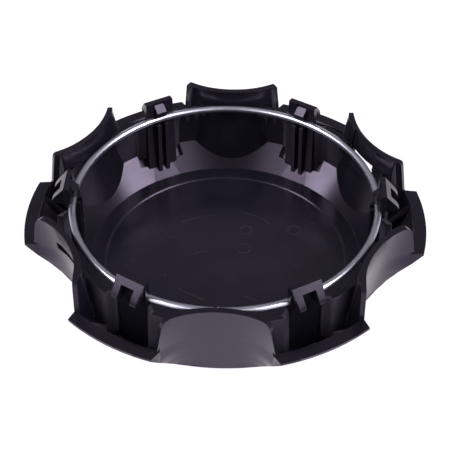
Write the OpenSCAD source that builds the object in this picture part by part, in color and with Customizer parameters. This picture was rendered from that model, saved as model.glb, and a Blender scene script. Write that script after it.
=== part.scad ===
// Wheel centre cap for a six-stud wheel: a moulded cap with lug pockets and snap clips, and a wire ring.
// It lies face down: z = 0 is the plane of the front face, +Z points into the wheel. Lengths are in mm.

/* [Cap body] */
// distance by which the rim lobes reach out past the circle of the wheel studs
rim_past_studs = 1.85; // [1:0.05:3]
// height of the rim's back side above the front face
rim_height = 21.3; // [20:0.1:23]
// thickness of the rim's edge
rim_thickness = 0.9; // [0.8:0.1:1.6]
// width of the flat ledge on the back of each rim lobe
ledge_width = 4.3; // [3.4:0.1:4.6]
// width of the sloping flank, from the front face's edge out to the rim
flank_width = 18.8; // [17.8:0.1:19.6]
// width of the bevel between the front face and the flank
front_bevel = 1; // [0.6:0.1:1.6]
// thickness of the floor
floor_thickness = 2.5; // [2:0.1:3]
// distance from the front face's edge in to the edge of the flat floor inside the cap
floor_inset = 2.8; // [2:0.1:3.6]
// distance from the floor's edge in to its shallow round recess
recess_inset = 6.1; // [4:0.1:10]
// depth of the shallow round recess in the floor
recess_depth = 0.45; // [0.3:0.05:0.8]

/* [Lug pockets] */
// number of wheel studs, which is also the number of clips
stud_count = 6; // [5:1:6]
// diameter of the circle that the wheel studs stand on
stud_circle = 139.7; // [138:0.1:141]
// room from a stud's centre line to the pocket wall at the pocket's back edge
nut_room = 10.25; // [9.6:0.05:11]
// plan radius of the pocket at its back edge
pocket_radius = 35; // [32:0.5:38]
// draft of the pocket wall, in degrees
pocket_draft = 9.1; // [8:0.1:10]
// thickness of the pocket wall
pocket_wall = 2.1; // [1.8:0.1:2.4]
// height of the pocket walls' back edge above the front face
pocket_height = 34.5; // [33:0.1:35.5]
// half of the angle between a pocket's two sides, in degrees
pocket_half_angle = 15.5; // [15:0.1:16]
// angle by which each rim lobe's end flares past the pocket's side, in degrees
lobe_flare = 1.1; // [0.4:0.05:1.3]
// width of a pocket's wall at its back edge, over its two fins
fin_width = 32.4; // [31:0.2:33]
// rounding of a fin's tip
fin_round = 1.6; // [0.5:0.1:2]

/* [Vent slots] */
// length of the vent slot through two opposite pocket walls
slot_length = 13; // [9:0.5:15]
// height of the vent slot
slot_height = 3; // [2:0.1:3.5]
// height of the slot's lower side above the rim's back side
slot_rise = 1.6; // [1:0.1:3]
// sideways offset of the first slot from its pocket's middle
slot_offset_a = -0.3; // [-3:0.1:3]
// sideways offset of the opposite slot from its pocket's middle
slot_offset_b = -4.5; // [-6:0.1:3]

/* [Retaining ring] */
// room between the wire's centre line and the middle of the pocket walls' back edge
ring_room = 5.6; // [5.3:0.1:5.9]
// thickness of the ring's wire
wire_diameter = 2.5; // [2:0.1:2.8]
// height of the wire's centre line above the front face
ring_height = 29.2; // [28.6:0.1:29.6]
// clearance between the wire and its seats in the clips
ring_clearance = 0.15; // [0.1:0.05:0.25]

/* [Clips] */
// height of the clips above the front face
clip_height = 36.9; // [36.4:0.1:38]
// width of a clip's tongue at the top
tongue_width = 11; // [10:0.2:12]
// width of a clip's tongue at its root
tongue_root_width = 12.2; // [12:0.1:13]
// thickness of the tongue below the barb
tongue_thickness = 2; // [1.8:0.1:2.4]
// distance by which the tongue leans outwards from its root to its top
tongue_lean = 0.7; // [0.3:0.1:1]
// distance by which the barbs' noses reach out past the ring's centre line
barb_reach = 7; // [6.5:0.1:8]
// height of the middle of the barb's rounded nose above the ring's centre line
nose_rise = 1.6; // [1:0.1:2.2]
// radius of the barb's rounded nose
nose_radius = 0.9; // [0.5:0.1:1]
// width of each of the barb's two legs at the top
leg_width = 3.05; // [2.4:0.05:3.4]
// distance by which each leg narrows from the top to its nose
leg_taper = 0.9; // [0:0.1:1.2]
// height of the bar that joins the two legs at the top
bar_height = 2; // [1.4:0.1:2.6]
// width of the hook above the ring
hook_width = 3.9; // [3:0.1:5]
// reach of the hook inwards from the ring's centre line
hook_reach = 1.9; // [1.4:0.1:2.2]
// width of each rib under the ring
rib_width = 1.5; // [1.2:0.05:2]
// distance between the middles of a clip's two ribs
rib_pitch = 3.2; // [2.8:0.1:4]
// depth of the ribs at the top, under the ring
rib_depth = 2.7; // [2.2:0.1:3]
// depth of the ribs at their foot
rib_foot_depth = 1.2; // [1:0.1:2]
// width of the opening in the lobe wall round a clip
opening_width = 18.4; // [17:0.2:19]
// thickness of the skin left under the hollow behind each clip
hollow_skin = 2; // [1.6:0.1:2.4]

/* [Lobe walls] */
// room between the ring's centre line and the lobe wall's inner face at its top
lobe_wall_room = 3.4; // [3:0.1:4]
// thickness of the lobe wall
lobe_wall_thickness = 1.8; // [1.4:0.1:2.2]
// height of the lobe wall's top below the ring's centre line
lobe_wall_drop = 1.3; // [0.8:0.1:2.5]
// distance by which the lobe wall leans outwards from its top to its foot
lobe_wall_lean = 1.1; // [0.5:0.1:1.5]

/* [Hidden] */

$fn = 96;
bite = 0.5; // how far a joined piece goes into the piece that carries it
past = 5; // how far a cut runs past the piece that it cuts
fin_overlap = 0.4; // how far the fins' feet reach over the ledge
top_offset = 0.15; // how far the top of a tongue's inner face lies outside the ring's centre line
top_land = 0.15; // how far a clip's flat top reaches past the tongue's outer face
nose_face = 1.3; // height of the steep face between a barb's slope and its nose
nose_face_angle = 60; // steepness of that face
notch_inset = 1.4; // how far the notch over the hook goes into the tongue's top
notch_depth = 0.7; // depth of the notch at its outer end
notch_slope = 0.86; // fall of the notch and of the hook's back towards the middle
hook_lip = 1.2; // height of the hook's blunt tip
hook_lead = 0.8; // chamfer under the hook's tip, which leads the ring in
grip = 0.1; // how far the hook and the ribs reach past the ring's seat
hollow_inset = 0.9; // how far outside a tongue's root the hollow begins
pad_overlap = 0.2; // how far the pad goes into the floor and the tongue
pad_step = 0.1; // height of the pad's edge above the floor

// All the round pieces follow the circle of the wheel studs, each by its own room.
rim_radius = stud_circle / 2 + rim_past_studs;
ledge_radius = rim_radius - ledge_width;
front_radius = rim_radius - flank_width;
floor_radius = front_radius - floor_inset;
recess_radius = floor_radius - recess_inset;
pocket_middle = stud_circle / 2 - nut_room;
pocket_axis = pocket_middle + pocket_radius;
ring_radius = pocket_middle - ring_room;
lobe_wall_radius = ring_radius + lobe_wall_room;
snap_radius = ring_radius + barb_reach;
wire_radius = wire_diameter / 2;
clip_spacing = 360 / stud_count;

// The flank's front side runs from the front face to the rim, its back side from the floor to the ledge.
rim_front_height = rim_height - rim_thickness;
front_slope = rim_front_height / (rim_radius - front_radius);
back_slope = (rim_height - floor_thickness) / (ledge_radius - floor_radius);
function front_z(radius) = front_slope * (radius - front_radius);
function back_z(radius) = floor_thickness + back_slope * (radius - floor_radius);
function flank_middle_z(radius) = (front_z(radius) + back_z(radius)) / 2;

fin_foot_radius = ledge_radius + fin_overlap;

clip_top_inner = ring_radius + top_offset;
clip_root_inner = clip_top_inner - tongue_lean;
tongue_outer = clip_top_inner + tongue_thickness;
seat_radius = wire_radius + ring_clearance;
notch_outer = clip_top_inner + notch_inset;
hollow_inner = clip_root_inner + hollow_inset;
hollow_foot = hollow_skin * sqrt(1 + front_slope * front_slope);
wall_top = ring_height - lobe_wall_drop;
function notch_z(radius) = clip_height - notch_depth - (notch_outer - radius) * notch_slope;

// The outline of a piece's side, as points of radius and height, stands upright and is given its width.
module upright(width) {
  rotate([90, 0, 0])
    linear_extrude(width, center = true)
      children();
}

module at_clips() {
  for (i = [0 : stud_count - 1])
    rotate(i * clip_spacing)
      children();
}

module at_pockets() {
  for (i = [0 : stud_count - 1])
    rotate((i + 0.5) * clip_spacing)
      children();
}

// The cap's round body: front face, flank, rim with its ledge, floor with its shallow recess.
module dish() {
  bevel_height = front_bevel * front_slope / sqrt(1 + front_slope * front_slope);
  bevel_radius = front_radius + bevel_height / front_slope;
  rotate_extrude()
    polygon([
      [0, 0],
      [front_radius - front_bevel, 0],
      [bevel_radius, bevel_height],
      [rim_radius, rim_front_height],
      [rim_radius, rim_height],
      [ledge_radius, rim_height],
      [floor_radius, floor_thickness],
      [recess_radius + recess_depth, floor_thickness],
      [recess_radius, floor_thickness - recess_depth],
      [0, floor_thickness - recess_depth]
    ]);
}

// A drafted round column about the pocket's axis, wider towards the front face grown by the wall.
module pocket_column(growth) {
  low = -past;
  high = clip_height + past;
  widening = tan(pocket_draft);
  translate([pocket_axis, 0, low])
    cylinder(
      h = high - low,
      r1 = pocket_radius + growth + (pocket_height - low) * widening,
      r2 = pocket_radius + growth + (pocket_height - high) * widening
    );
}

// The wedge between a pocket's two sides, which flares at the ends of the rim lobes.
module pocket_wedge() {
  corner_angle = pocket_half_angle + lobe_flare;
  foot = fin_foot_radius * [cos(pocket_half_angle), sin(pocket_half_angle)];
  corner = rim_radius * [cos(corner_angle), sin(corner_angle)];
  outside = corner + past * (corner - foot);
  root = foot / 2;
  mirrored = [[1, 0], [0, -1]];
  half = [root, foot, outside];
  translate([0, 0, -past])
    linear_extrude(clip_height + 2 * past)
      polygon(concat(half, [for (i = [2 : -1 : 0]) mirrored * half[i]]));
}

module pocket_space() {
  intersection() {
    pocket_column(0);
    pocket_wedge();
  }
}

// The back view of a pocket's wall: its ends are drafted like the wall, and the tips of the fins are rounded.
module fin_outline() {
  tip = fin_width / 2;
  foot = tip + pocket_height * tan(pocket_draft);
  centre = [tip - fin_round, pocket_height - fin_round];
  rounding = [for (i = [0 : 6]) centre + fin_round * [cos(15 * i), sin(15 * i)]];
  half = concat([[foot, 0]], rounding);
  mirrored = [[-1, 0], [0, 1]];
  polygon(concat(half, [for (i = [7 : -1 : 0]) mirrored * half[i]]));
}

// The block that becomes a pocket's wall and fins once the pocket is cut out of it.
module pocket_block() {
  root = front_radius - past;
  intersection() {
    pocket_column(pocket_wall);
    rotate([90, 0, 90])
      linear_extrude(rim_radius)
        fin_outline();
    rotate_extrude()
      polygon([
        [root, floor_thickness / 2],
        [front_radius, floor_thickness / 2],
        [fin_foot_radius, flank_middle_z(fin_foot_radius)],
        [fin_foot_radius, clip_height],
        [root, clip_height]
      ]);
  }
}

// The wall that stands on the flank inside each lobe, between the clip's opening and the pocket walls.
module lobe_wall() {
  foot = lobe_wall_radius + lobe_wall_lean;
  foot_z = flank_middle_z(foot);
  rotate_extrude()
    polygon([
      [foot, foot_z],
      [lobe_wall_radius, wall_top],
      [lobe_wall_radius + lobe_wall_thickness, wall_top],
      [foot + lobe_wall_thickness, foot_z + bite]
    ]);
}

// The hollow outside and beside each tongue, which leaves a thin skin on the flank.
module clip_hollow() {
  outer = ledge_radius - bite;
  upright(opening_width)
    polygon([
      [hollow_inner, front_z(hollow_inner) + hollow_foot],
      [outer, front_z(outer) + hollow_foot],
      [outer, clip_height + past],
      [hollow_inner, clip_height + past]
    ]);
}

// The outline of a barb: from the clip's top down its slope and a steeper face to the rounded nose.
module barb_outline() {
  nose = [snap_radius - nose_radius, ring_height + nose_rise];
  face_foot = nose + nose_radius * [sin(nose_face_angle), cos(nose_face_angle)];
  face_top = face_foot + nose_face * [-1 / tan(nose_face_angle), 1];
  polygon([
    [clip_top_inner + bite, clip_height],
    [tongue_outer + top_land, clip_height],
    face_top,
    face_foot,
    nose,
    nose - [0, nose_radius],
    [clip_top_inner + 2 * bite, nose[1] - nose_radius - bite]
  ]);
  translate(nose)
    circle(nose_radius, $fn = 24);
}

// The room between a clip's two side faces, whose half width changes from the top down to a foot.
module between_sides(half_top, half_foot, foot) {
  rotate([90, 0, 90])
    linear_extrude(rim_radius)
      polygon([
        [-half_top, clip_height],
        [half_top, clip_height],
        [half_foot, foot],
        [half_foot, foot - past],
        [-half_foot, foot - past],
        [-half_foot, foot]
      ]);
}

// Two legs joined by a bar at the top: the legs grow narrower towards their noses.
module barb() {
  foot = ring_height + nose_rise - nose_radius;
  intersection() {
    union() {
      for (side = [-1, 1])
        translate([0, side * (tongue_width - leg_width) / 2, 0])
          upright(leg_width)
            barb_outline();
      upright(tongue_width - 2 * leg_width + bite)
        intersection() {
          barb_outline();
          translate([0, clip_height - bar_height])
            square([snap_radius, bar_height]);
        }
    }
    between_sides(tongue_width / 2, tongue_width / 2 - leg_taper, foot);
  }
}

// The tongue stands in the flank, its sides are drafted, and its top is notched over the hook.
module tongue() {
  outer_corner = norm([tongue_outer, tongue_root_width / 2]);
  difference() {
    intersection() {
      upright(tongue_root_width + 2 * past)
        polygon([
          [clip_root_inner, floor_thickness],
          [clip_top_inner, clip_height],
          [tongue_outer, clip_height],
          [tongue_outer, front_z(outer_corner) + hollow_skin / 2]
        ]);
      between_sides(tongue_width / 2, tongue_root_width / 2, floor_thickness);
    }
    upright(hook_width)
      polygon([
        [notch_outer, notch_z(notch_outer)],
        [notch_outer, clip_height + past],
        [clip_top_inner - past, clip_height + past],
        [clip_top_inner - past, notch_z(clip_top_inner - past)]
      ]);
  }
}

// The hook reaches over the ring from the tongue.
module hook() {
  tip = ring_radius - hook_reach;
  under = ring_height + seat_radius - grip;
  upright(hook_width)
    polygon([
      [notch_outer, notch_z(notch_outer)],
      [tip, notch_z(tip)],
      [tip, under + hook_lip],
      [tip + hook_lead, under],
      [notch_outer, under]
    ]);
}

module ribs() {
  top = ring_height - seat_radius + grip;
  for (side = [-1, 1])
    translate([0, side * rib_pitch / 2, 0])
      upright(rib_width)
        polygon([
          [clip_root_inner - rib_foot_depth, floor_thickness / 2],
          [clip_top_inner - rib_depth, top],
          [clip_top_inner + bite, top],
          [clip_root_inner + bite, floor_thickness / 2]
        ]);
}

// The flat pad on the flank between the floor and the tongue's root.
module pad() {
  corner = norm([clip_root_inner, tongue_root_width / 2]);
  upright(tongue_root_width)
    polygon([
      [floor_radius - pad_overlap, floor_thickness - 2 * recess_depth],
      [floor_radius - pad_overlap, floor_thickness + pad_step],
      [clip_root_inner + pad_overlap, back_z(corner)],
      [clip_root_inner + pad_overlap, floor_thickness]
    ]);
}

module clip() {
  tongue();
  barb();
  hook();
  ribs();
  pad();
}

// The vent slot goes through the pocket wall, sideways of the pocket's middle.
module vent_slot(offset_sideways) {
  translate([pocket_middle - 2 * past, offset_sideways - slot_length / 2, rim_height + slot_rise])
    cube([3 * past, slot_length, slot_height]);
}

module wire_ring(radius) {
  translate([0, 0, ring_height])
    rotate_extrude()
      translate([ring_radius, 0])
        circle(radius, $fn = 32);
}

module cap_moulding() {
  color([0.05, 0.05, 0.055])
    difference() {
      union() {
        difference() {
          union() {
            dish();
            lobe_wall();
            at_pockets()
              pocket_block();
          }
          at_pockets()
            pocket_space();
          at_clips()
            clip_hollow();
        }
        at_clips()
          clip();
      }
      wire_ring(seat_radius);
      rotate(clip_spacing / 2)
        vent_slot(slot_offset_a);
      rotate((floor(stud_count / 2) + 0.5) * clip_spacing)
        vent_slot(slot_offset_b);
    }
}

module retaining_ring() {
  color([0.78, 0.79, 0.82])
    wire_ring(wire_radius);
}

cap_moulding();
retaining_ring();
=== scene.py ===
import math

import bmesh
import bpy
import numpy as np
from mathutils import Matrix, Vector


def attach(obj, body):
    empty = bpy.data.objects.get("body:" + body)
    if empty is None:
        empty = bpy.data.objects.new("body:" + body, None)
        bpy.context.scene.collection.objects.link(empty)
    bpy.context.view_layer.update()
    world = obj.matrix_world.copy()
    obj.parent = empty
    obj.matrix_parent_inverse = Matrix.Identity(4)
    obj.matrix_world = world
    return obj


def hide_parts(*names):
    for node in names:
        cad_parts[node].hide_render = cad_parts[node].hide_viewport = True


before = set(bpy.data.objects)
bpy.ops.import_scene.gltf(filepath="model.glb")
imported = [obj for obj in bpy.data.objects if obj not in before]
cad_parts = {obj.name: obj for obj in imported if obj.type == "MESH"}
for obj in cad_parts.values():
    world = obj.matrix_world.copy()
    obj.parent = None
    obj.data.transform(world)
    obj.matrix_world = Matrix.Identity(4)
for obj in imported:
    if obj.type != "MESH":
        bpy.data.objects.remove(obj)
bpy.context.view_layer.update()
mm = 0.001

# The photograph's view: angles in degrees, lengths in millimetres, the aim point in the cap's own frame.
cameraSettings = {
    "azimuth": 2.7528,
    "elevation": 42.3752,
    "roll": -0.3965,
    "distance": 396.3,
    "aim": (0.56, -13.12, 29.2),
    "lens": 91.55,
    "sensor": 36.0,
}


def placeCamera(settings):
    azimuth = math.radians(settings["azimuth"])
    elevation = math.radians(settings["elevation"])
    back = Vector((
        math.sin(azimuth) * math.cos(elevation),
        -math.cos(azimuth) * math.cos(elevation),
        math.sin(elevation),
    ))
    right = Vector((math.cos(azimuth), math.sin(azimuth), 0))
    up = back.cross(right)
    turn = Matrix((right, up, back)).transposed()
    roll = Matrix.Rotation(math.radians(settings["roll"]), 3, "Z")
    lensData = bpy.data.cameras.new("photoCamera")
    lensData.lens = settings["lens"]
    lensData.sensor_width = settings["sensor"]
    lensData.clip_start = 0.01
    lensData.clip_end = 20
    camera = bpy.data.objects.new("photoCamera", lensData)
    bpy.context.scene.collection.objects.link(camera)
    place = (Vector(settings["aim"]) + back * settings["distance"]) * mm
    camera.matrix_world = Matrix.Translation(place) @ (turn @ roll).to_4x4()
    bpy.context.scene.camera = camera


placeCamera(cameraSettings)
print("camera placed")


def newMaterial(name):
    material = bpy.data.materials.new(name)
    material.use_nodes = True
    shader = material.node_tree.nodes["Principled BSDF"]
    return material, material.node_tree, shader


def addNoise(tree, scale, detail, roughness=0.5, stretch=(1, 1, 1)):
    coords = tree.nodes.new("ShaderNodeTexCoord")
    mapping = tree.nodes.new("ShaderNodeMapping")
    mapping.inputs["Scale"].default_value = stretch
    noise = tree.nodes.new("ShaderNodeTexNoise")
    noise.inputs["Scale"].default_value = scale
    noise.inputs["Detail"].default_value = detail
    noise.inputs["Roughness"].default_value = roughness
    tree.links.new(coords.outputs["Object"], mapping.inputs["Vector"])
    tree.links.new(mapping.outputs["Vector"], noise.inputs["Vector"])
    return noise.outputs["Fac"]


def addRange(tree, source, low, high, fromLow=0.0, fromHigh=1.0):
    spread = tree.nodes.new("ShaderNodeMapRange")
    spread.inputs["From Min"].default_value = fromLow
    spread.inputs["From Max"].default_value = fromHigh
    spread.inputs["To Min"].default_value = low
    spread.inputs["To Max"].default_value = high
    tree.links.new(source, spread.inputs["Value"])
    return spread.outputs["Result"]


def addColors(tree, source, low, high):
    mix = tree.nodes.new("ShaderNodeMix")
    mix.data_type = "RGBA"
    mix.inputs["A"].default_value = low
    mix.inputs["B"].default_value = high
    tree.links.new(source, mix.inputs["Factor"])
    return mix.outputs["Result"]


def addBump(tree, shader, height, settings):
    bump = tree.nodes.new("ShaderNodeBump")
    bump.inputs["Strength"].default_value = settings["bumpStrength"]
    bump.inputs["Distance"].default_value = settings["bumpDepth"] * mm
    tree.links.new(height, bump.inputs["Height"])
    tree.links.new(bump.outputs["Normal"], shader.inputs["Normal"])
    return bump


# Sharp edges are rounded in the shading, and the bump is laid over that.
def addRoundEdges(tree, bump, settings):
    edge = tree.nodes.new("ShaderNodeBevel")
    edge.samples = 6
    edge.inputs["Radius"].default_value = settings["edge"] * mm
    tree.links.new(edge.outputs["Normal"], bump.inputs["Normal"])


# Moulded black plastic, semi-gloss, with faint clouding of its polish and a fine grain.
mouldedSettings = {
    "color": (0.0052, 0.0047, 0.0076, 1),
    "colorCloud": (0.0072, 0.0066, 0.0104, 1),
    "specularTint": (0.90, 0.79, 1.0, 1),
    "specular": 0.40,
    "roughnessLow": 0.17,
    "roughnessHigh": 0.30,
    "cloudScale": 70,
    "cloudDetail": 4,
    "colorSpread": (0.35, 0.65),
    "roughnessSpread": (0.3, 0.7),
    "grainScale": 900,
    "grainDetail": 3,
    "grainRoughness": 0.6,
    "bumpStrength": 0.10,
    "bumpDepth": 0.04,
    "edge": 0.16,
}


def makeMoulded(settings, name):
    material, tree, shader = newMaterial(name)
    cloud = addNoise(tree, settings["cloudScale"], settings["cloudDetail"])
    spread = addRange(tree, cloud, 0, 1, *settings["colorSpread"])
    color = addColors(tree, spread, settings["color"], settings["colorCloud"])
    tree.links.new(color, shader.inputs["Base Color"])
    limits = settings["roughnessLow"], settings["roughnessHigh"]
    roughness = addRange(tree, cloud, *limits, *settings["roughnessSpread"])
    tree.links.new(roughness, shader.inputs["Roughness"])
    shader.inputs["Specular Tint"].default_value = settings["specularTint"]
    shader.inputs["Specular IOR Level"].default_value = settings["specular"]
    grain = addNoise(tree, settings["grainScale"], settings["grainDetail"], settings["grainRoughness"])
    addRoundEdges(tree, addBump(tree, shader, grain, settings), settings)
    return material


# Gloss black paint on the side that shows when the cap is on the wheel, with a faint orange peel.
glossSettings = {
    "color": (0.0075, 0.0072, 0.0095, 1),
    "colorCloud": (0.0095, 0.009, 0.0125, 1),
    "specularTint": (0.74, 0.62, 0.95, 1),
    "roughnessLow": 0.19,
    "roughnessHigh": 0.26,
    "cloudScale": 45,
    "cloudDetail": 3,
    "peelScale": 260,
    "peelDetail": 2,
    "bumpStrength": 0.05,
    "bumpDepth": 0.08,
    "edge": 0.2,
}


def makeGloss(settings):
    material, tree, shader = newMaterial("glossBlack")
    cloud = addNoise(tree, settings["cloudScale"], settings["cloudDetail"])
    color = addColors(tree, cloud, settings["color"], settings["colorCloud"])
    tree.links.new(color, shader.inputs["Base Color"])
    roughness = addRange(tree, cloud, settings["roughnessLow"], settings["roughnessHigh"])
    tree.links.new(roughness, shader.inputs["Roughness"])
    shader.inputs["Specular Tint"].default_value = settings["specularTint"]
    peel = addNoise(tree, settings["peelScale"], settings["peelDetail"])
    addRoundEdges(tree, addBump(tree, shader, peel, settings), settings)
    return material


# Zinc-plated spring wire, with faint streaks.
wireSettings = {
    "color": (0.66, 0.68, 0.74, 1),
    "colorCloud": (0.76, 0.78, 0.84, 1),
    "roughnessLow": 0.28,
    "roughnessHigh": 0.33,
    "streakScale": 160,
    "streakDetail": 3,
    "streakStretch": (1, 1, 0.4),
    "streakSpread": (0.3, 0.7),
    "bumpStrength": 0.03,
    "bumpDepth": 0.01,
}


def makeWire(settings):
    material, tree, shader = newMaterial("zincWire")
    shader.inputs["Metallic"].default_value = 1
    scale, detail = settings["streakScale"], settings["streakDetail"]
    streaks = addNoise(tree, scale, detail, stretch=settings["streakStretch"])
    spread = addRange(tree, streaks, 0, 1, *settings["streakSpread"])
    color = addColors(tree, spread, settings["color"], settings["colorCloud"])
    tree.links.new(color, shader.inputs["Base Color"])
    roughness = addRange(tree, streaks, settings["roughnessLow"], settings["roughnessHigh"])
    tree.links.new(roughness, shader.inputs["Roughness"])
    addBump(tree, shader, streaks, settings)
    return material


# The same plastic with the dull, coarser finish of the lobe walls. Its colour is paler than the moulding's:
# painted light that lifts the walls and the pockets' backs out of their shade.
dullPaintedLightSettings = dict(
    mouldedSettings,
    color=(0.024, 0.0225, 0.030, 1),
    colorCloud=(0.034, 0.032, 0.041, 1),
    specular=0.5,
    roughnessLow=0.42,
    roughnessHigh=0.58,
    cloudScale=110,
)

# The hollow behind each clip has the dull finish too, and a paler colour still: painted light, standing in
# for the light that falls into the hollow.
troughPaintedLightSettings = dict(dullPaintedLightSettings, color=(0.05, 0.047, 0.06, 1), colorCloud=(0.07, 0.066, 0.08, 1))

# The floor is as the rest of the moulding, with the edge of its recess worn round.
floorFinishSettings = dict(
    mouldedSettings,
    color=(0.0078, 0.0072, 0.0112, 1),
    colorCloud=(0.0102, 0.0095, 0.0145, 1),
    edge=0.8,
    specular=0.5,
)

mouldedBlack = makeMoulded(mouldedSettings, "mouldedBlack")
troughPaintedLight = makeMoulded(troughPaintedLightSettings, "troughPaintedLight")
floorBlack = makeMoulded(floorFinishSettings, "floorBlack")
dullBlackPaintedLight = makeMoulded(dullPaintedLightSettings, "dullBlackPaintedLight")
glossBlack = makeGloss(glossSettings)
zincWire = makeWire(wireSettings)
print("finishes made")


# Cuts one closed skin after another out of a mesh, and returns the new mesh.
def cutAway(mesh, skins):
    for points, faces in skins:
        cutter = bpy.data.meshes.new("cutter")
        cutter.from_pydata(points * mm, [], faces)
        tool = bpy.data.objects.new("cutter", cutter)
        carrier = bpy.data.objects.new("carrier", mesh)
        bpy.context.scene.collection.objects.link(tool)
        bpy.context.scene.collection.objects.link(carrier)
        cut = carrier.modifiers.new("cut", "BOOLEAN")
        cut.operation = "DIFFERENCE"
        cut.solver = "EXACT"
        cut.object = tool
        graph = bpy.context.evaluated_depsgraph_get()
        before = len(mesh.polygons)
        mesh = bpy.data.meshes.new_from_object(carrier.evaluated_get(graph))
        print("cut", before, len(mesh.polygons))
        bpy.data.objects.remove(carrier)
        bpy.data.objects.remove(tool)
    return mesh


# A solid's triangles are loose, so a merged copy takes its place and is shaded smooth between its sharp
# edges.
mouldingSettings = {
    "mergeWithin": 0.002,
    "dropUnder": 0.0005,
    "smoothUnder": 28,
}


def mergedCopy(nodeName, name, materials, skins, settings):
    work = bmesh.new()
    work.from_mesh(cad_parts[nodeName].data)
    bmesh.ops.remove_doubles(work, verts=work.verts, dist=settings["mergeWithin"] * mm)
    bmesh.ops.dissolve_degenerate(work, edges=work.edges, dist=settings["dropUnder"] * mm)
    mesh = bpy.data.meshes.new(name)
    work.to_mesh(mesh)
    work.free()
    mesh.attributes.remove(mesh.attributes["custom_normal"])
    mesh = cutAway(mesh, skins)
    mesh.name = name
    for material in materials:
        mesh.materials.append(material)
    mesh.shade_smooth()
    mesh.set_sharp_from_angle(angle=math.radians(settings["smoothUnder"]))
    piece = bpy.data.objects.new(name, mesh)
    bpy.context.scene.collection.objects.link(piece)
    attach(piece, "root")
    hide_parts(nodeName)
    return mesh


# The painted side is what can be seen from below and outside: the front, the flank and the pockets' outer
# faces.
paintSettings = {
    "studs": 6,
    "pocketAxis": 94.6,
    "pocketRadius": 35.0,
    "pocketTop": 34.5,
    "draft": 9.1,
    "wall": 2.1,
    "reach": 0.25,
    "facesDown": -0.3,
}


# A pocket's face is a cone about an upright axis: its radius grows from the top down by the tangent of
# the draft.
def draftGrowth(height, settings):
    return (settings["pocketTop"] - height) * math.tan(math.radians(settings["draft"]))


def placeOnPocket(points, settings):
    angle = np.arctan2(points[:, 1], points[:, 0])
    spacing = 2 * math.pi / settings["studs"]
    middle = (np.floor(angle / spacing) + 0.5) * spacing
    axis = settings["pocketAxis"] * np.stack([np.cos(middle), np.sin(middle)], axis=1)
    radius = settings["pocketRadius"] + draftGrowth(points[:, 2], settings)
    return np.linalg.norm(points[:, :2] - axis, axis=1), radius


def faceCentresAndNormals(mesh):
    count = len(mesh.polygons)
    centres = np.empty(count * 3)
    normals = np.empty(count * 3)
    mesh.polygons.foreach_get("center", centres)
    mesh.polygons.foreach_get("normal", normals)
    return centres.reshape(-1, 3) / mm, normals.reshape(-1, 3)


def paintedFaces(mesh, settings):
    centres, normals = faceCentresAndNormals(mesh)
    fromAxis, columnRadius = placeOnPocket(centres, settings)
    outwards = (normals[:, :2] * centres[:, :2]).sum(axis=1) > 0
    onPocket = (np.abs(fromAxis - columnRadius) < settings["reach"]) & outwards
    downwards = normals[:, 2] < settings["facesDown"]
    return onPocket | downwards


# The dull faces are the lobe walls' outer ones, which stand upright at their own radius, clear of the
# pockets and the clips' openings, and the pockets' walls seen from outside the cap.
wallSettings = {
    "studs": 6,
    "innerRadius": 57.2,
    "outerRadius": 60.6,
    "halfOpening": 9.1,
    "foot": 9.0,
    "top": 27.8,
    "facesOut": 0.85,
    "clear": 0.3,
    "reach": 0.15,
    "upright": 0.5,
}


def wallFaces(mesh, settings):
    centres, normals = faceCentresAndNormals(mesh)
    radius = np.hypot(centres[:, 0], centres[:, 1])
    angle = np.arctan2(centres[:, 1], centres[:, 0])
    spacing = 2 * math.pi / settings["studs"]
    beside = radius * np.abs(np.sin(angle - np.round(angle / spacing) * spacing))
    radial = (normals[:, :2] * centres[:, :2]).sum(axis=1) / radius
    standing = (radial > settings["facesOut"]) & (beside > settings["halfOpening"])
    inBand = (radius > settings["innerRadius"]) & (radius < settings["outerRadius"])
    inHeight = (centres[:, 2] > settings["foot"]) & (centres[:, 2] < settings["top"])
    fromAxis, columnRadius = placeOnPocket(centres, paintSettings)
    behind = fromAxis - columnRadius - paintSettings["wall"]
    onBack = (np.abs(behind) < settings["reach"]) & (radius > settings["outerRadius"])
    upright = np.abs(normals[:, 2]) < settings["upright"]
    return (standing & inBand & inHeight & (behind > settings["clear"])) | (onBack & upright)


# The hollows' faces, which take the painted light of the paler colour, lie behind the clips, between the
# openings' sides and under the ledge.
troughPlaces = {
    "innerRadius": 60.9,
    "halfWidth": 9.4,
    "foot": 4.0,
    "top": 21.28,
    "facesUp": 0.95,
}


def troughPaintedLightFaces(mesh, settings):
    centres, normals = faceCentresAndNormals(mesh)
    radius = np.hypot(centres[:, 0], centres[:, 1])
    angle = np.arctan2(centres[:, 1], centres[:, 0])
    spacing = 2 * math.pi / paintSettings["studs"]
    beside = radius * np.abs(np.sin(angle - np.round(angle / spacing) * spacing))
    inPlan = (radius > settings["innerRadius"]) & (beside < settings["halfWidth"])
    inHeight = (centres[:, 2] > settings["foot"]) & (centres[:, 2] < settings["top"])
    return inPlan & inHeight & (normals[:, 2] < settings["facesUp"])


# The floor's faces are the level ones low down, and the recess's step between them.
floorPlaces = {
    "radius": 50.0,
    "top": 2.55,
    "facesDown": -0.3,
}


def floorFaces(mesh, settings):
    centres, normals = faceCentresAndNormals(mesh)
    radius = np.hypot(centres[:, 0], centres[:, 1])
    low = (radius < settings["radius"]) & (centres[:, 2] < settings["top"])
    return low & (normals[:, 2] > settings["facesDown"])


# The pads in front of the clips are flat, and meet the round flank in low edges that stay crisp.
padSettings = {
    "clips": 6,
    "halfWidth": 6.2,
    "inner": 49.8,
    "outer": 53.8,
    "top": 7.0,
    "slope": 46.15,
    "turn": 0.6,
}


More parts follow.
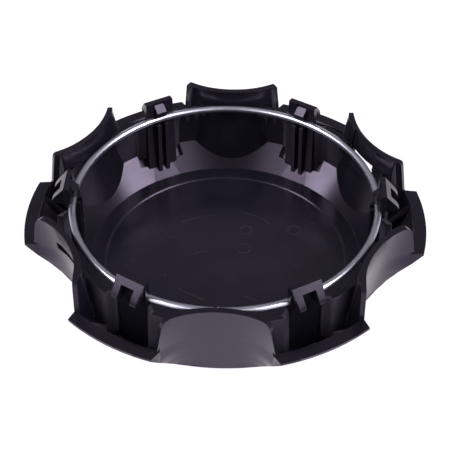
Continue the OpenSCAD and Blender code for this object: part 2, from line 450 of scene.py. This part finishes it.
def keepPadsCrisp(mesh, settings):
    centres, normals = faceCentresAndNormals(mesh)
    spacing = 2 * math.pi / settings["clips"]
    middle = np.round(np.arctan2(centres[:, 1], centres[:, 0]) / spacing) * spacing
    along = centres[:, 0] * np.cos(middle) + centres[:, 1] * np.sin(middle)
    beside = np.abs(centres[:, 1] * np.cos(middle) - centres[:, 0] * np.sin(middle))
    slope = math.radians(settings["slope"])
    level = np.stack([-np.cos(middle) * math.sin(slope), -np.sin(middle) * math.sin(slope)], axis=1)
    cosine = (normals[:, :2] * level).sum(axis=1) + normals[:, 2] * math.cos(slope)
    inside = (along > settings["inner"]) & (along < settings["outer"]) & (beside < settings["halfWidth"])
    pad = inside & (centres[:, 2] < settings["top"]) & (cosine > math.cos(math.radians(settings["turn"])))
    loopEdges = np.empty(len(mesh.loops), dtype=np.int32)
    mesh.loops.foreach_get("edge_index", loopEdges)
    sizes = np.empty(len(mesh.polygons), dtype=np.int32)
    mesh.polygons.foreach_get("loop_total", sizes)
    touching = np.bincount(loopEdges, weights=np.repeat(pad, sizes), minlength=len(mesh.edges))
    sharp = np.empty(len(mesh.edges), dtype=bool)
    mesh.edges.foreach_get("use_edge_sharp", sharp)
    mesh.edges.foreach_set("use_edge_sharp", sharp | (touching == 1))
    print("pad faces", int(pad.sum()))


# Two grids become one closed skin: the outer grid, the inner one turned round, and four strips between
# their rims.
def closedSkin(outer, inner):
    rows, columns = outer.shape[:2]
    index = np.arange(rows * columns).reshape(rows, columns)
    back = index + rows * columns
    front = np.stack([index[:-1, :-1], index[1:, :-1], index[1:, 1:], index[:-1, 1:]], axis=-1).reshape(-1, 4)
    behind = np.stack([back[:-1, :-1], back[:-1, 1:], back[1:, 1:], back[1:, :-1]], axis=-1).reshape(-1, 4)
    rim = np.concatenate([index[:, 0], index[-1, 1:], index[-2::-1, -1], index[0, -2:0:-1]])
    after = np.roll(rim, -1)
    strip = np.stack([after, rim, rim + rows * columns, after + rows * columns], axis=-1)
    points = np.concatenate([outer.reshape(-1, 3), inner.reshape(-1, 3)])
    return points, np.concatenate([front, behind, strip]), len(front)


# Behind the first slot the pocket's wall is thinned from the inside, and the slot is taller there.
# Sideways places are in the pocket's own plan.
slotSettings = {
    "pocket": 0,
    "sides": (-9.1, 9.1),
    "heights": (21.9, 36.0),
    "thinWall": 1.05,
    "pastWall": 3.2,
    "slotSides": (-6.8, 6.2),
    "slotHeights": (24.5, 27.25),
    "slotThrough": (63.0, 54.0),
}


# The thinned part's skin lies on two cones about the pocket's axis: x is the axis less the square root of
# the radius squared less the sideways place squared.
def slotRecess(settings):
    sideways = np.linspace(*settings["sides"], 25)[:, None]
    height = np.linspace(*settings["heights"], 3)[None, :] + 0 * sideways
    grids = []
    for beyond in (settings["thinWall"], settings["pastWall"]):
        radius = paintSettings["pocketRadius"] + beyond + draftGrowth(height, paintSettings)
        x = paintSettings["pocketAxis"] - np.sqrt(radius**2 - sideways**2)
        grids.append(np.stack([x, sideways + 0 * height, height], axis=-1))
    points, faces = closedSkin(*grids)[:2]
    return turnToPocket(points, settings["pocket"]), faces


# The slot's skin is a box between two upright planes, one on each side of the wall.
def slotOpening(settings):
    sideways = np.array(settings["slotSides"])[:, None]
    height = np.array(settings["slotHeights"])[None, :] + 0 * sideways
    grids = []
    for x in settings["slotThrough"]:
        grids.append(np.stack([x + 0 * height, sideways + 0 * height, height], axis=-1))
    points, faces = closedSkin(*grids)[:2]
    return turnToPocket(points, settings["pocket"]), faces


# Places in a pocket's own plan are turned about the cap's axis by the angle of that pocket's middle.
def turnToPocket(points, pocket):
    turn = (pocket + 0.5) * 2 * math.pi / paintSettings["studs"]
    x, y = points[:, 0], points[:, 1]
    return np.column_stack([
        x * math.cos(turn) - y * math.sin(turn),
        x * math.sin(turn) + y * math.cos(turn),
        points[:, 2],
    ])


# The round faces of the moulding are shaded by their own formulas, so that no facet shows.
roundSettings = {
    "cones": [
        {"radius": 50.1, "height": 2.5, "slope": 47.38, "outside": -1},
        {"radius": 52.9, "height": 0.0, "slope": 47.34, "outside": 1},
    ],
    "reach": 0.03,
    "turn": 12,
}


# A cone's normal leans from the axis by its slope, and a pocket's points to or from its own axis and
# leans by the draft. A face takes them where its corners lie on that surface and it faces the same way.
def shadeRound(mesh, settings):
    corners = len(mesh.loops)
    vertexOf = np.empty(corners, dtype=np.int32)
    mesh.loops.foreach_get("vertex_index", vertexOf)
    places = np.empty(len(mesh.vertices) * 3)
    mesh.vertices.foreach_get("co", places)
    points = places.reshape(-1, 3)[vertexOf] / mm
    shading = np.empty(corners * 3)
    mesh.corner_normals.foreach_get("vector", shading)
    shading = shading.reshape(-1, 3)
    flat = faceCentresAndNormals(mesh)[1]
    sizes = np.empty(len(mesh.polygons), dtype=np.int32)
    mesh.polygons.foreach_get("loop_total", sizes)
    faceOf = np.repeat(np.arange(len(sizes)), sizes)
    radius = np.hypot(points[:, 0], points[:, 1])
    outwards = points[:, :2] / np.maximum(radius, 1e-6)[:, None]
    surfaces = []
    for cone in settings["cones"]:
        slope = math.radians(cone["slope"])
        off = np.abs(points[:, 2] - cone["height"] - math.tan(slope) * (radius - cone["radius"]))
        sideways = outwards * math.sin(slope) * cone["outside"]
        upwards = np.full(corners, -math.cos(slope) * cone["outside"])
        surfaces.append((off, np.column_stack([sideways, upwards])))
    angle = np.arctan2(points[:, 1], points[:, 0])
    spacing = 2 * math.pi / paintSettings["studs"]
    middle = (np.floor(angle / spacing) + 0.5) * spacing
    axis = paintSettings["pocketAxis"] * np.stack([np.cos(middle), np.sin(middle)], axis=1)
    fromAxis, columnRadius = placeOnPocket(points, paintSettings)
    away = (points[:, :2] - axis) / fromAxis[:, None]
    draft = math.radians(paintSettings["draft"])
    for grown, sense in ((0, -1), (paintSettings["wall"], 1)):
        off = np.abs(fromAxis - columnRadius - grown)
        upwards = np.full(corners, math.sin(draft) * sense)
        surfaces.append((off, np.column_stack([away * math.cos(draft) * sense, upwards])))
    nearest = math.cos(math.radians(settings["turn"]))
    for off, normal in surfaces:
        agrees = (normal * flat[faceOf]).sum(axis=1) > nearest
        good = (off < settings["reach"]) & agrees
        whole = np.bincount(faceOf, weights=good, minlength=len(sizes)) == sizes
        chosen = whole[faceOf]
        shading[chosen] = normal[chosen]
        print("faces shaded by formula", int(whole.sum()))
    mesh.normals_split_custom_set(shading)


moulding = mergedCopy(
    "cap_moulding",
    "cap_moulding_dressed",
    [mouldedBlack, glossBlack, dullBlackPaintedLight, troughPaintedLight, floorBlack],
    [slotRecess(slotSettings), slotOpening(slotSettings)],
    mouldingSettings,
)
# The numbers are the finishes' places in the list above.
# Finish 2's paler colour is painted light on the lobe walls and the pockets' backs.
finish = np.where(wallFaces(moulding, wallSettings), 2, 0)
# Finish 3's paler colour is painted light in the hollows.
finish = np.where(troughPaintedLightFaces(moulding, troughPlaces), 3, finish)
finish = np.where(floorFaces(moulding, floorPlaces), 4, finish)
finish = np.where(paintedFaces(moulding, paintSettings), 1, finish).astype(np.int32)
moulding.polygons.foreach_set("material_index", finish)
print("faces by finish", np.bincount(finish))
keepPadsCrisp(moulding, padSettings)
shadeRound(moulding, roundSettings)

ringSettings = {
    "radius": 54.0,
    "wire": 1.25,
    "height": 29.2,
    "around": 288,
    "across": 20,
}


# The wire's surface is a torus: the ring's radius plus the wire's radius times the cosine of the turn
# across, at the ring's height plus the wire's radius times the sine of that turn.
def makeRing(settings):
    around = np.linspace(0, 2 * math.pi, settings["around"], endpoint=False)[:, None]
    across = np.linspace(0, 2 * math.pi, settings["across"], endpoint=False)[None, :]
    reach = settings["radius"] + settings["wire"] * np.cos(across)
    height = settings["height"] + settings["wire"] * np.sin(across) + 0 * around
    points = np.stack([reach * np.cos(around), reach * np.sin(around), height], axis=-1).reshape(-1, 3)
    index = np.arange(len(points)).reshape(settings["around"], settings["across"])
    ahead = np.roll(index, -1, axis=0)
    faces = np.stack([index, ahead, np.roll(ahead, -1, axis=1), np.roll(index, -1, axis=1)], axis=-1)
    mesh = bpy.data.meshes.new("retaining_ring_dressed")
    mesh.from_pydata(points * mm, [], faces.reshape(-1, 4))
    mesh.materials.append(zincWire)
    mesh.shade_smooth()
    piece = bpy.data.objects.new("retaining_ring_dressed", mesh)
    bpy.context.scene.collection.objects.link(piece)
    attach(piece, "root")
    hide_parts("retaining_ring")


makeRing(ringSettings)
print("solids dressed")

# The pockets' painted faces sweep out to the fins' ends and to the rim. Places are in the pocket's own
# plan, with x through its middle, and y to one side.
pocketEndSettings = {
    "bendFrom": 7.0,
    "slotPast": {(3, -1): 0.31, (0, -1): 0.10},
    "slotLevels": (0.115, 0.375),
    "rimHeight": 21.27,
    "rimEdge": 20.4,
    "flankEdge": [(3.0, 6.6), (5.0, 10.6), (8.0, 14.0), (12.0, 16.5), (16.2, 18.05), (20.4, 20.44)],
    "frontRadius": 52.9,
    "flankSlope": 1.085,
    "finFoot": (65.8, 18.9),
    "finTop": (64.6, 16.6),
    "finRise": 0.1,
    "finRound": 3.2,
    "finThickness": 1.7,
    "wall": 2.02,
    "wallGrows": 0.35,
    "growsOver": 0.4,
    "thinsFrom": 0.62,
    "wedge": 15.5,
    "lift": 0.02,
    "topLift": 0.01,
    "flankInset": 0.03,
    "bury": 0.3,
    "footBury": 0.2,
    "lengthFactor": 1.05,
    "farPockets": 3,
    "smoothUnder": 40,
}


# The three far pockets' fins are a little slimmer, with squarer corners.
farEndSettings = dict(pocketEndSettings, finFoot=(65.2, 18.0), finTop=(63.8, 16.9), finRise=0.5, finRound=1.4)


# In plan the sweep is a Bezier curve: it leaves the pocket's circle along its tangent at the bend, and
# its middle handle lies half the chord away, divided by the cosine of the angle between that tangent and
# the chord.
def sweepInPlan(share, height, endX, endY, settings):
    radius = paintSettings["pocketRadius"] - settings["lift"] + draftGrowth(height, paintSettings)
    startY = np.minimum(settings["bendFrom"], 0.6 * endY)
    startX = paintSettings["pocketAxis"] - np.sqrt(radius**2 - startY**2)
    tangentX = startY / radius
    tangentY = np.sqrt(radius**2 - startY**2) / radius
    chord = np.hypot(endX - startX, endY - startY)
    cosine = (tangentX * (endX - startX) + tangentY * (endY - startY)) / chord
    handleX = startX + tangentX * chord / (2 * cosine)
    handleY = startY + tangentY * chord / (2 * cosine)
    x = (1 - share) ** 2 * startX + 2 * share * (1 - share) * handleX + share**2 * endX
    y = (1 - share) ** 2 * startY + 2 * share * (1 - share) * handleY + share**2 * endY
    return x, y


# How far the moulding's own face lies behind a point, measured away from the pocket's axis: the nearer of
# the pocket's circle and the plane of the pocket's side.
def gapBehind(x, y, height, settings):
    away = np.hypot(x - paintSettings["pocketAxis"], y)
    directionX = (x - paintSettings["pocketAxis"]) / away
    directionY = y / away
    radius = paintSettings["pocketRadius"] + draftGrowth(height, paintSettings)
    wedge = math.radians(settings["wedge"])
    inside = x * math.sin(wedge) - y * math.cos(wedge)
    closing = directionY * math.cos(wedge) - directionX * math.sin(wedge)
    gap = np.clip(np.minimum(radius - away, inside / closing), 0, None)
    return gap, directionX, directionY


# Below the rim the fill runs from the sweep back into the moulding, and its end lies on the flank's cone,
# whose radius is the front's radius plus the height over the flank's slope.
def lobeFill(settings):
    share = np.linspace(0, 1, 22)[:, None]
    height = np.linspace(settings["flankEdge"][0][0], settings["rimHeight"], 26)[None, :] + 0 * share
    flank = settings["frontRadius"] + np.minimum(height, settings["rimEdge"]) / settings["flankSlope"]
    heights, widths = zip(*settings["flankEdge"])
    endY = np.interp(height, heights, widths)
    flank = flank - settings["flankInset"]
    endX = np.sqrt(flank**2 - endY**2)
    x, y = sweepInPlan(share, height, endX, endY, settings)
    outer = np.stack([x, y, height], axis=-1)
    gap, directionX, directionY = gapBehind(x, y, height, settings)
    depth = gap + settings["bury"]
    inner = np.stack([x + directionX * depth, y + directionY * depth, height], axis=-1)
    onCone = flank[-1] / np.hypot(inner[-1, :, 0], inner[-1, :, 1])
    inner[-1, :, :2] *= onCone[:, None]
    return outer, inner


# Above the rim the fin is a plate on the same sweep. Its end leans from foot to top, and its top corner
# is a quarter circle. Level with a slot it starts past the slot's end.
def finPlate(slotPast, settings):
    share = np.concatenate([np.linspace(0, 0.82, 16), np.linspace(0.84, 1, 16)])[:, None]
    low, high = settings["slotLevels"]
    level = np.concatenate([
        np.linspace(0, low, 5),
        np.linspace(low + 0.002, high - 0.002, 5),
        np.linspace(high, 1, 13),
    ])[None, :]
    beside = (level > low) & (level < high) & (share < slotPast)
    share = np.where(beside, slotPast - 0.004 * (1 - share / max(slotPast, 0.01)), share + 0 * level)
    foot = settings["rimHeight"] - settings["footBury"]
    top = paintSettings["pocketTop"] + settings["topLift"] + settings["finRise"] * share * share
    length = settings["lengthFactor"] * (settings["finFoot"][1] - settings["bendFrom"])
    fromEnd = (1 - share) * length
    corner = settings["finRound"]
    drop = corner - np.sqrt(corner**2 - np.clip(corner - fromEnd, 0, corner) ** 2)
    height = foot + level * (top - drop - foot)
    rise = (height - settings["rimHeight"]) / (paintSettings["pocketTop"] - settings["rimHeight"])
    endX = settings["finFoot"][0] + rise * (settings["finTop"][0] - settings["finFoot"][0])
    endY = settings["finFoot"][1] + rise * (settings["finTop"][1] - settings["finFoot"][1])
    x, y = sweepInPlan(share, height, endX, endY, settings)
    outer = np.stack([x, y, height], axis=-1)
    away = np.hypot(x - paintSettings["pocketAxis"], y)
    radius = paintSettings["pocketRadius"] + draftGrowth(height, paintSettings)
    ease = np.clip((share - settings["thinsFrom"]) / (1 - settings["thinsFrom"]), 0, 1)
    ease = ease * ease * (3 - 2 * ease)
    wall = settings["wall"] + settings["wallGrows"] * np.clip(share / settings["growsOver"], 0, 1)
    depth = (1 - ease) * (radius - away + wall) + ease * settings["finThickness"]
    inner = outer.copy()
    inner[..., 0] += (x - paintSettings["pocketAxis"]) / away * depth
    inner[..., 1] += y / away * depth
    return outer, inner


# Every pocket has a left and a right end: the one is the other mirrored, with its faces turned round.
def makePocketEnds(settings):
    points, faces, finish, count = [], [], [], 0
    for pocket in range(paintSettings["studs"]):
        for side in (1, -1):
            slotPast = settings["slotPast"].get((pocket, side), 0)
            ends = farEndSettings if pocket < settings["farPockets"] else settings
            for outer, inner in (lobeFill(ends), finPlate(slotPast, ends)):
                skinPoints, skinFaces, fronts = closedSkin(outer, inner)
                skinPoints[:, 1] *= side
                points.append(turnToPocket(skinPoints, pocket) * mm)
                faces.append((skinFaces if side > 0 else skinFaces[:, ::-1]) + count)
                finish.append((np.arange(len(skinFaces)) < fronts).astype(np.int32))
                count += len(skinPoints)
    mesh = bpy.data.meshes.new("pocket_ends")
    mesh.from_pydata(np.concatenate(points), [], np.concatenate(faces))
    mesh.materials.append(mouldedBlack)
    mesh.materials.append(glossBlack)
    mesh.polygons.foreach_set("material_index", np.concatenate(finish))
    mesh.shade_smooth()
    mesh.set_sharp_from_angle(angle=math.radians(settings["smoothUnder"]))
    piece = bpy.data.objects.new("pocket_ends", mesh)
    bpy.context.scene.collection.objects.link(piece)
    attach(piece, "root")


makePocketEnds(pocketEndSettings)
print("pocket ends")

# The lobe walls run on past the openings' edges and bend in to the clips' tongues.
lobeWallSettings = {
    "clips": 6,
    "start": 6.45,
    "bendEnd": 9.3,
    "bendIn": 2.6,
    "radius": 59.27,
    "thickness": 1.9,
    "intoPocket": 1.0,
    "top": 27.86,
    "foot": 10.3,
    "lean": 1.1,
    "smoothUnder": 30,
}


# A wall is a cone's sector about the cap's axis, from a set distance beside the clip's middle to the
# middle of the pocket's wall. Its radius grows downwards by the lean over the wall's height, and shrinks
# towards the clip by a smooth step.
def makeLobeWalls(settings):
    height = np.linspace(settings["foot"], settings["top"], 8)[None, :]
    lean = settings["lean"] * (settings["top"] - height) / (settings["top"] - settings["foot"])
    radius = settings["radius"] + lean
    share = np.linspace(0, 1, 26)[:, None]
    start = np.arcsin(settings["start"] / radius)
    axis = paintSettings["pocketAxis"]
    column = paintSettings["pocketRadius"] + settings["intoPocket"] + draftGrowth(height, paintSettings)
    end = math.pi / settings["clips"] - np.arccos((radius**2 + axis**2 - column**2) / (2 * radius * axis))
    angle = start + share * (end - start)
    fromBendEnd = settings["bendEnd"] - radius * np.sin(angle)
    bend = np.clip(fromBendEnd / (settings["bendEnd"] - settings["start"]), 0, 1)
    radius = radius - settings["bendIn"] * bend * bend * (3 - 2 * bend)
    points, faces, count = [], [], 0
    for clip in range(settings["clips"]):
        middle = clip * 2 * math.pi / settings["clips"]
        for side in (1, -1):
            turn = middle + side * angle
            grids = []
            for reach in (radius, radius - settings["thickness"]):
                x, y = reach * np.cos(turn), reach * np.sin(turn)
                grids.append(np.stack([x, y, height + 0 * turn], axis=-1))
            skinPoints, skinFaces = closedSkin(*grids)[:2]
            points.append(skinPoints)
            faces.append((skinFaces if side > 0 else skinFaces[:, ::-1]) + count)
            count += len(skinPoints)
    mesh = bpy.data.meshes.new("lobe_walls")
    mesh.from_pydata(np.concatenate(points) * mm, [], np.concatenate(faces))
    # The walls' dull finish carries a paler colour as painted light.
    mesh.materials.append(dullBlackPaintedLight)
    mesh.shade_smooth()
    mesh.set_sharp_from_angle(angle=math.radians(settings["smoothUnder"]))
    piece = bpy.data.objects.new("lobe_walls", mesh)
    bpy.context.scene.collection.objects.link(piece)
    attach(piece, "root")


makeLobeWalls(lobeWallSettings)
print("lobe walls")

# Moulding marks and fine scratches on the floor: each is a hair's breadth of raised plastic along an arc,
# given by its two ends and how far its middle is set off.
markSettings = {
    "height": 2.05,
    "radius": 0.045,
    "sink": 0.01,
    "steps": 25,
    "profile": 5,
    "color": (0.06, 0.056, 0.072, 1),
    "edge": 0.02,
    "arcs": [
        ((5.0, 24.3), (16.3, 17.8), 1.0),
        ((-17.4, 17.7), (-5.4, 22.2), 0.6),
        ((-16.3, -17.6), (-6.3, -23.2), -0.4),
        ((9.5, -27.5), (14.1, -24.9), 0.2),
        ((6.1, -20.3), (13.7, -23.9), 0.3),
        ((-11.7, 0.2), (-6.6, 2.0), 0.3),
        ((-22.2, -11.5), (-20.9, -10.6), 0.1),
        ((25.0, -5.2), (26.7, -4.2), 0.1),
    ],
    "rings": [(6.6, 4.1, 2.6), (7.2, 14.1, 2.2), (25.4, 14.8, 2.4)],
}


# Each strip's cross-section is half a circle; its middle line is the chord plus the offset times a
# parabola.
def hairline(line, closed, settings):
    ahead = np.roll(line, -1, axis=0) - np.roll(line, 1, axis=0) if closed else np.gradient(line, axis=0)
    ahead /= np.linalg.norm(ahead, axis=1)[:, None]
    across = np.stack([-ahead[:, 1], ahead[:, 0]], axis=1)
    turn = np.linspace(0, math.pi, settings["profile"])
    x = line[:, None, 0] + across[:, None, 0] * settings["radius"] * np.cos(turn)
    y = line[:, None, 1] + across[:, None, 1] * settings["radius"] * np.cos(turn)
    z = settings["height"] - settings["sink"] + settings["radius"] * np.sin(turn)[None, :] + 0 * x
    index = np.arange(x.size).reshape(x.shape)
    beyond = np.roll(index, -1, axis=0) if closed else index[1:]
    index = index if closed else index[:-1]
    faces = np.stack([index[:, :-1], beyond[:, :-1], beyond[:, 1:], index[:, 1:]], axis=-1).reshape(-1, 4)
    return np.stack([x, y, z], axis=-1).reshape(-1, 3), faces[:, ::-1]


def makeFloorMarks(settings):
    strips = []
    along = np.linspace(0, 1, settings["steps"])[:, None]
    for start, end, offset in settings["arcs"]:
        start, end = np.array(start), np.array(end)
        chord = end - start
        aside = np.array([-chord[1], chord[0]]) / np.hypot(*chord)
        line = start + chord * along + aside * offset * 4 * along * (1 - along)
        strips.append(hairline(line, False, settings))
    around = np.linspace(0, 2 * math.pi, settings["steps"], endpoint=False)
    for x, y, radius in settings["rings"]:
        line = np.column_stack([x + radius * np.cos(around), y + radius * np.sin(around)])
        strips.append(hairline(line, True, settings))
    points, faces, count = [], [], 0
    for stripPoints, stripFaces in strips:
        points.append(stripPoints)
        faces.append(stripFaces + count)
        count += len(stripPoints)
    mesh = bpy.data.meshes.new("floor_marks")
    mesh.from_pydata(np.concatenate(points) * mm, [], np.concatenate(faces))
    markFinish = dict(dullPaintedLightSettings, color=settings["color"], edge=settings["edge"])
    mesh.materials.append(makeMoulded(markFinish, "markGrey"))
    mesh.shade_smooth()
    piece = bpy.data.objects.new("floor_marks", mesh)
    bpy.context.scene.collection.objects.link(piece)
    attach(piece, "root")


makeFloorMarks(markSettings)

# The gate's stub on the near pocket's top: a flattened dome, its radii along x, y and z.
gateSettings = {
    "place": (-0.3, -57.3, 34.5),
    "radii": (1.15, 0.75, 0.4),
    "around": 24,
    "up": 7,
    "upFrom": -0.35,
    "ripple": 0.12,
    "ripples": 3,
    "rippleTurn": 0.6,
}


# Each radius is multiplied by the cosine or the sine of the angles round and up, and the level ones also
# by one plus a small sine wave of the angle round.
def makeGateStub(settings):
    around = np.linspace(0, 2 * math.pi, settings["around"], endpoint=False)[:, None]
    up = np.linspace(settings["upFrom"], math.pi / 2, settings["up"])[None, :]
    ripple = 1 + settings["ripple"] * np.sin(settings["ripples"] * around + settings["rippleTurn"])
    grid = np.stack([
        settings["place"][0] + settings["radii"][0] * ripple * np.cos(around) * np.cos(up),
        settings["place"][1] + settings["radii"][1] * ripple * np.sin(around) * np.cos(up),
        settings["place"][2] + settings["radii"][2] * np.sin(up) + 0 * around,
    ], axis=-1)
    index = np.arange(grid.shape[0] * grid.shape[1]).reshape(grid.shape[:2])
    ahead = np.roll(index, -1, axis=0)
    faces = np.stack([index[:, :-1], ahead[:, :-1], ahead[:, 1:], index[:, 1:]], axis=-1).reshape(-1, 4)
    mesh = bpy.data.meshes.new("gate_stub")
    mesh.from_pydata(grid.reshape(-1, 3) * mm, [], faces)
    mesh.materials.append(mouldedBlack)
    mesh.shade_smooth()
    piece = bpy.data.objects.new("gate_stub", mesh)
    bpy.context.scene.collection.objects.link(piece)
    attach(piece, "root")


makeGateStub(gateSettings)
print("marks and gate stub")

# A white floor that glows evenly, as on a light table.
floorSettings = {
    "size": 6.0,
    "color": (0.12, 0.12, 0.12, 1),
    "glowColor": (0.97, 0.925, 1.0, 1),
    "glow": 1.03,
    "roughness": 0.9,
}


def makeFloor(settings):
    half = settings["size"] / 2
    mesh = bpy.data.meshes.new("floor")
    corners = [(-half, -half, 0), (half, -half, 0), (half, half, 0), (-half, half, 0)]
    mesh.from_pydata(corners, [], [(0, 1, 2, 3)])
    floor = bpy.data.objects.new("floor", mesh)
    bpy.context.scene.collection.objects.link(floor)
    material, tree, shader = newMaterial("floorWhite")
    shader.inputs["Base Color"].default_value = settings["color"]
    shader.inputs["Roughness"].default_value = settings["roughness"]
    shader.inputs["Specular IOR Level"].default_value = 0
    shader.inputs["Emission Color"].default_value = settings["glowColor"]
    shader.inputs["Emission Strength"].default_value = settings["glow"]
    mesh.materials.append(material)


# The studio: a dim room with soft boxes, each given by its azimuth and elevation in degrees, how far from
# its middle it stays bright and where it has faded out, and its strength.
studioSettings = {
    "roomColor": (0.94, 0.90, 1.0, 1),
    "room": 0.24,
    "boxes": [
        {"azimuth": -17, "elevation": 48, "inner": 10, "outer": 15, "strength": 12.0},
        {"azimuth": -15, "elevation": 32, "inner": 9, "outer": 14, "strength": 12.0},
        {"azimuth": -164, "elevation": 46, "inner": 8, "outer": 12, "strength": 12.0},
        {"azimuth": -164, "elevation": 33, "inner": 8, "outer": 12, "strength": 12.0},
        {"azimuth": -50, "elevation": 33, "inner": 4, "outer": 22, "strength": 3.0},
        {"azimuth": -133, "elevation": 33, "inner": 4, "outer": 22, "strength": 3.2},
        {"azimuth": -34, "elevation": 24, "inner": 3, "outer": 12, "strength": 2.5},
        {"azimuth": -147, "elevation": 24, "inner": 3, "outer": 12, "strength": 3.0},
    ],
}


# Each box's light is its strength times a smooth step of the cosine between the direction and the box's
# middle, and in every direction the brightest box counts.
def makeStudio(settings):
    world = bpy.data.worlds.new("studio")
    world.use_nodes = True
    tree = world.node_tree
    background = tree.nodes["Background"]
    background.inputs["Color"].default_value = settings["roomColor"]
    coords = tree.nodes.new("ShaderNodeTexCoord")
    total = None
    for box in settings["boxes"]:
        azimuth = math.radians(box["azimuth"])
        elevation = math.radians(box["elevation"])
        dot = tree.nodes.new("ShaderNodeVectorMath")
        dot.operation = "DOT_PRODUCT"
        dot.inputs[1].default_value = (
            math.cos(azimuth) * math.cos(elevation),
            math.sin(azimuth) * math.cos(elevation),
            math.sin(elevation),
        )
        tree.links.new(coords.outputs["Generated"], dot.inputs[0])
        step = tree.nodes.new("ShaderNodeMapRange")
        step.interpolation_type = "SMOOTHSTEP"
        step.inputs["From Min"].default_value = math.cos(math.radians(box["outer"]))
        step.inputs["From Max"].default_value = math.cos(math.radians(box["inner"]))
        step.inputs["To Max"].default_value = box["strength"]
        tree.links.new(dot.outputs["Value"], step.inputs["Value"])
        brightest = tree.nodes.new("ShaderNodeMath")
        brightest.operation = "MAXIMUM"
        tree.links.new(step.outputs["Result"], brightest.inputs[0])
        if total is None:
            brightest.inputs[1].default_value = settings["room"]
        else:
            tree.links.new(total, brightest.inputs[1])
        total = brightest.outputs["Value"]
    tree.links.new(total, background.inputs["Strength"])
    bpy.context.scene.world = world


makeFloor(floorSettings)
makeStudio(studioSettings)
bpy.context.scene.view_settings.view_transform = "Standard"
print("floor and studio")
